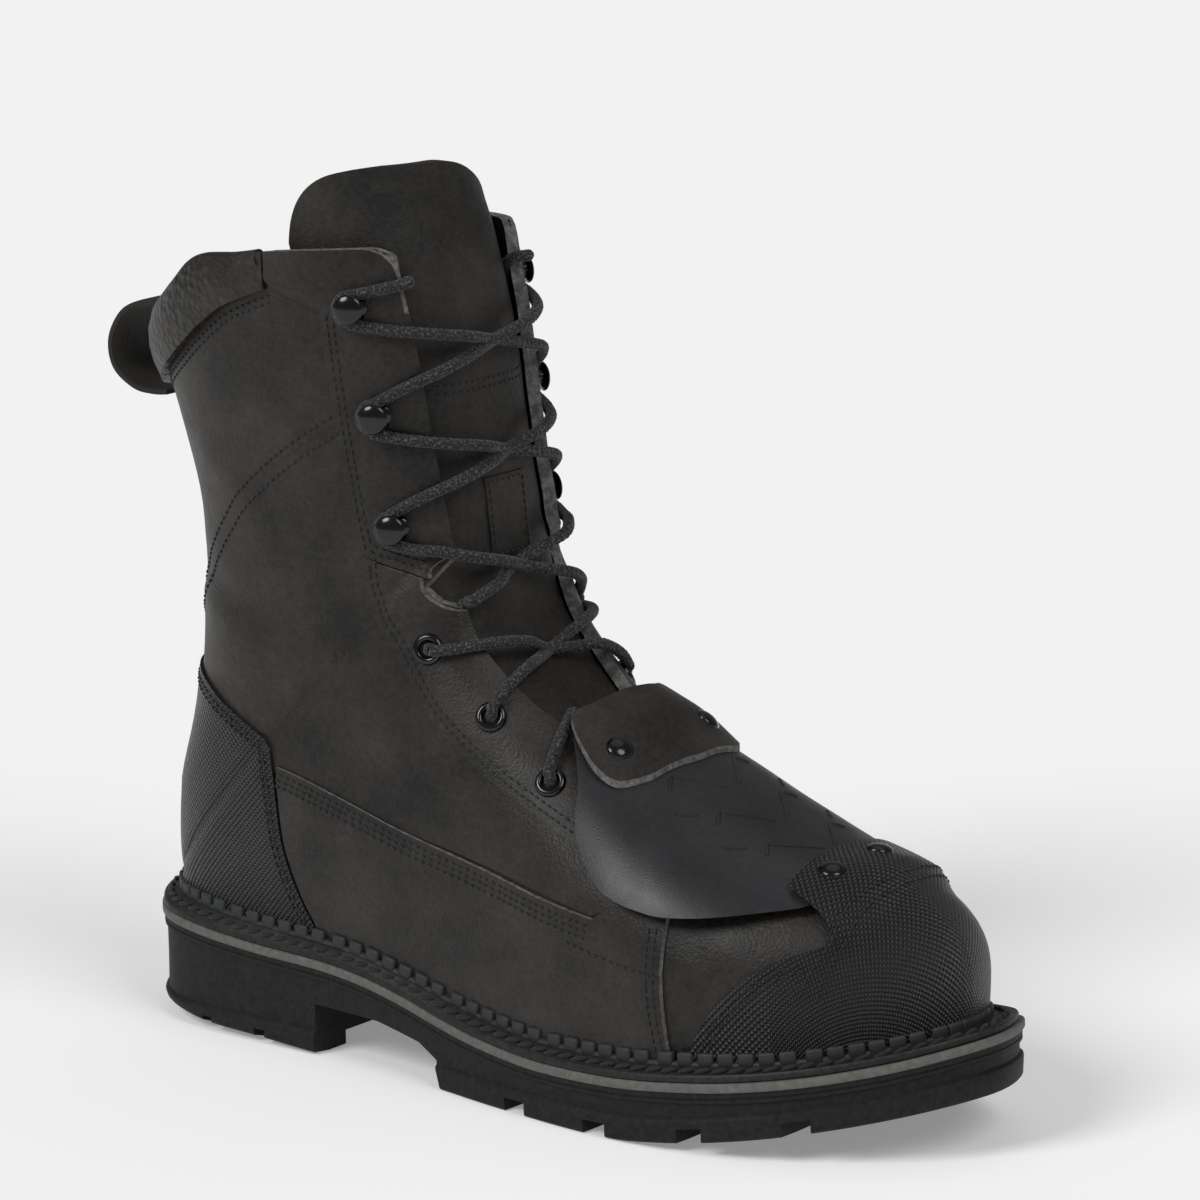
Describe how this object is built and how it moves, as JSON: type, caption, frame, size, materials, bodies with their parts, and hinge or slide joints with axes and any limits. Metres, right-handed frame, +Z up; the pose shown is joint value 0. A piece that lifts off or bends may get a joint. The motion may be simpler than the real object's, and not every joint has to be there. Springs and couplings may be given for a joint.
{
  "type": "metatarsal guard boot",
  "caption": "High laced work boot for the right foot, with a riveted guard plate over the instep, a fabric toe cap and a lugged rubber sole.",
  "frame": {"origin": "on the floor under the middle of the heel's tread, at the rear resting face", "axes": "+X from the heel to the toe, +Y to the inner (medial) side of this right boot, +Z up"},
  "size_m": [0.3359, 0.1108, 0.2771],
  "materials": {
    "sole_rubber": "matt",
    "midsole_strip": "matt",
    "welt_rubber": "satin",
    "lining": "matt",
    "oiled_leather": "oiled",
    "pebbled_leather": "pebbled",
    "tongue_leather": "oiled",
    "guard_cover": "smooth satin",
    "ballistic_fabric": "woven",
    "webbing": "woven",
    "black_metal": "gloss",
    "lace_cord": "braided"
  },
  "bodies": {
    "root": {"outsole": "sole_rubber", "midsole_strip": "midsole_strip", "welt": "welt_rubber", "storm_rib": "welt_rubber", "insole": "lining", "upper": "oiled_leather", "toe_cap": "ballistic_fabric", "heel_counter": "ballistic_fabric", "met_guard": "guard_cover", "guard_flap": "oiled_leather", "collar_pad": "pebbled_leather", "facing_lateral": "oiled_leather", "facing_medial": "oiled_leather", "eyestay_lateral": "oiled_leather", "eyestay_medial": "oiled_leather", "quarter_lateral": "oiled_leather", "quarter_medial": "oiled_leather", "tongue": "tongue_leather", "pull_loop": "webbing", "hook_lateral_1": "black_metal", "hook_lateral_2": "black_metal", "hook_lateral_3": "black_metal", "hook_medial_1": "black_metal", "hook_medial_2": "black_metal", "hook_medial_3": "black_metal", "eyelet_lateral_1": "black_metal", "eyelet_lateral_2": "black_metal", "eyelet_lateral_3": "black_metal", "eyelet_medial_1": "black_metal", "eyelet_medial_2": "black_metal", "eyelet_medial_3": "black_metal", "rivet_flap_lateral": "black_metal", "rivet_flap_medial": "black_metal", "rivet_cap_lateral": "black_metal", "rivet_cap_medial": "black_metal", "lace_hooks": "lace_cord", "lace_eyelets": "lace_cord", "lace_end": "lace_cord"}
  },
  "joints": []
}
